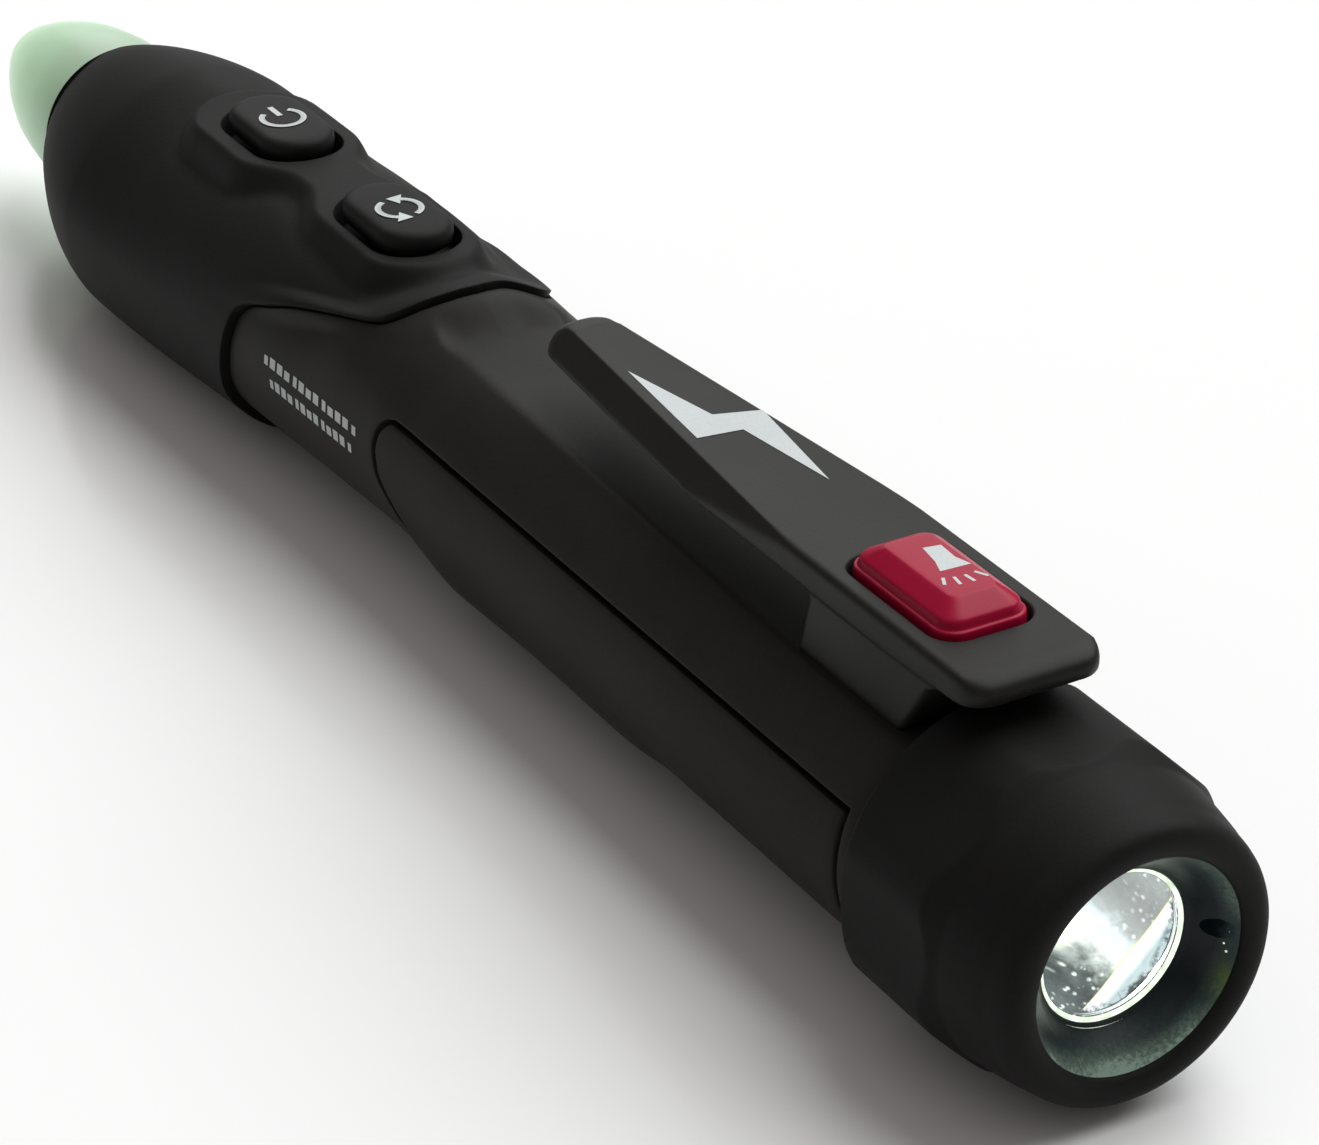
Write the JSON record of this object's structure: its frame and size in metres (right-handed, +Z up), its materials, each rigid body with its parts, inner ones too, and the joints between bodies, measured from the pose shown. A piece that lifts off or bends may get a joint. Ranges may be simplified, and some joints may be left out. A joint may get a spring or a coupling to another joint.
{
  "type": "non-contact voltage detector",
  "caption": "Pen-shaped non-contact voltage detector: round case with pocket clip, soft head with finger guard and keys, glowing sensing tip, torch in a screw-on tail cap.",
  "frame": {"origin": "centre of the length, on the plane that the part rests on", "axes": "+X along the case towards the sensing tip, +Z up on the clip and key side"},
  "size_m": [0.178, 0.0258, 0.0298],
  "materials": {
    "grey_plastic": "satin",
    "red_plastic": "satin",
    "soft_rubber": "matte",
    "dark_plastic": "satin",
    "bezel": "gloss",
    "window": "gloss",
    "reflector": "polished",
    "emitter": "gloss",
    "board": "satin",
    "steel": "satin",
    "cell": "satin",
    "brass": "satin",
    "parts": "satin",
    "glow_tip": "satin",
    "lamp": "gloss"
  },
  "bodies": {
    "case": {"housing": "grey_plastic", "lower_shell": "grey_plastic", "pocket_clip": "grey_plastic", "clip_screws": "steel", "torch_switch": "dark_plastic", "cell_rear": "cell", "cell_front": "cell", "cell_cradle": "dark_plastic", "front_contact": "brass", "main_board": "board", "board_screws": "steel", "control_chip": "dark_plastic", "board_parts": "parts", "buzzer": "dark_plastic", "mode_switch": "dark_plastic", "power_switch": "dark_plastic", "head_grip": "soft_rubber", "probe_tip": "glow_tip", "sense_plate": "brass", "tip_light": "lamp"},
    "seal": {"cap_seal": "soft_rubber"},
    "cap": {"tail_cap": "soft_rubber", "cap_insert": "dark_plastic", "torch_bezel": "bezel", "torch_lens": "window", "torch_reflector": "reflector", "torch_led": "emitter", "led_board": "board", "cap_spring": "steel"},
    "torch_button": {"torch_button": "red_plastic"},
    "mode_key": {"mode_key": "soft_rubber"},
    "power_key": {"power_key": "soft_rubber"}
  },
  "joints": [
    {"name": "cap_travel", "type": "slide", "parent": "case", "child": "seal", "axis": [-1, 0, 0], "range_m": [0, 0.003]},
    {"name": "cap_turn", "type": "hinge", "parent": "seal", "child": "cap", "pos_m": [-0.08, 0, 0.0118], "axis": [-1, 0, 0], "range_deg": [0, 720]},
    {"name": "torch_press", "type": "slide", "parent": "case", "child": "torch_button", "axis": [0, 0, -1], "range_m": [0, 0.0006], "stiffness_N_per_m": 1500},
    {"name": "mode_press", "type": "slide", "parent": "case", "child": "mode_key", "axis": [0, 0, -1], "range_m": [0, 0.0005], "stiffness_N_per_m": 1500},
    {"name": "power_press", "type": "slide", "parent": "case", "child": "power_key", "axis": [0, 0, -1], "range_m": [0, 0.0005], "stiffness_N_per_m": 1500}
  ],
  "couplings": [
    {"joint": "cap_turn", "follows": "cap_travel", "rad_per_m": 4188.8}
  ]
}
